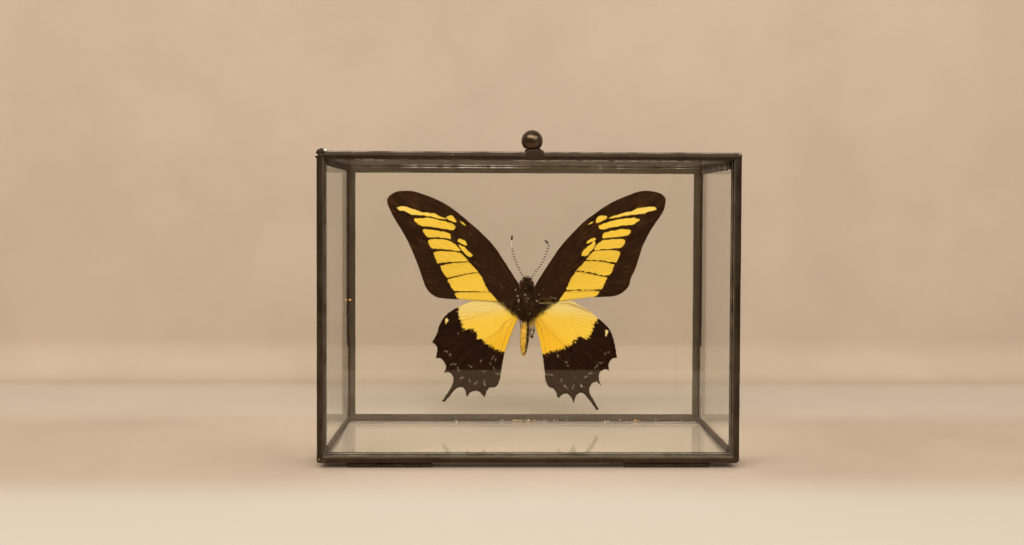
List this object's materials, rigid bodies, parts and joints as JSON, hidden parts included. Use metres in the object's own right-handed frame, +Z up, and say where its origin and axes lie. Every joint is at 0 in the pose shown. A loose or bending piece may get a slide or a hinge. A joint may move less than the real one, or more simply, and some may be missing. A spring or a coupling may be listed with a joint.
{
  "type": "mounted butterfly in a glass box",
  "caption": "Small glass display box with dark soldered metal edges and a bottom-hinged glass door, with a spread swallowtail butterfly fixed inside against its back pane.",
  "frame": {"origin": "middle of the bounding box's base, on the surface that the box stands on", "axes": "+X to the viewer's right along the box's width, +Y from the door to the back pane, +Z up"},
  "size_m": [0.155, 0.0668, 0.1239],
  "materials": {
    "blackened_metal": "dark patina, satin",
    "glass": "clear, faintly green",
    "wing": "matt scales",
    "body_fur": "matt fur",
    "glue": "clear, set glue"
  },
  "bodies": {
    "case": {"case_rail_bottom": "blackened_metal", "case_rail_top": "blackened_metal", "case_post_left": "blackened_metal", "case_post_right": "blackened_metal", "back_rail_bottom": "blackened_metal", "back_rail_top": "blackened_metal", "back_post_left": "blackened_metal", "back_post_right": "blackened_metal", "edge_bottom_left": "blackened_metal", "edge_bottom_right": "blackened_metal", "edge_top_left": "blackened_metal", "edge_top_right": "blackened_metal", "solder_seam_bottom_left": "blackened_metal", "solder_seam_bottom_right": "blackened_metal", "solder_seam_top_left": "blackened_metal", "solder_seam_top_right": "blackened_metal", "hinge_leaf_left": "blackened_metal", "hinge_leaf_right": "blackened_metal", "hinge_pin_left": "blackened_metal", "hinge_pin_right": "blackened_metal", "glass_left": "glass", "glass_right": "glass", "glass_bottom": "glass", "glass_top": "glass", "glass_back": "glass", "forewing_left": "wing", "forewing_right": "wing", "hindwing_left": "wing", "hindwing_right": "wing", "body": "body_fur", "antenna_left": "body_fur", "antenna_right": "body_fur", "glue_dab": "glue"},
    "door": {"door_rail_bottom": "blackened_metal", "door_rail_top": "blackened_metal", "door_stile_left": "blackened_metal", "door_stile_right": "blackened_metal", "knob": "blackened_metal", "knob_saddle": "blackened_metal", "hinge_knuckle_left_outer": "blackened_metal", "hinge_knuckle_left_inner": "blackened_metal", "hinge_knuckle_right_outer": "blackened_metal", "hinge_knuckle_right_inner": "blackened_metal", "door_glass": "glass"}
  },
  "joints": [
    {"name": "door_hinge", "type": "hinge", "parent": "case", "child": "door", "pos_m": [0, -0.03085, 0.00095], "axis": [1, 0, 0], "range_deg": [0, 180]}
  ]
}
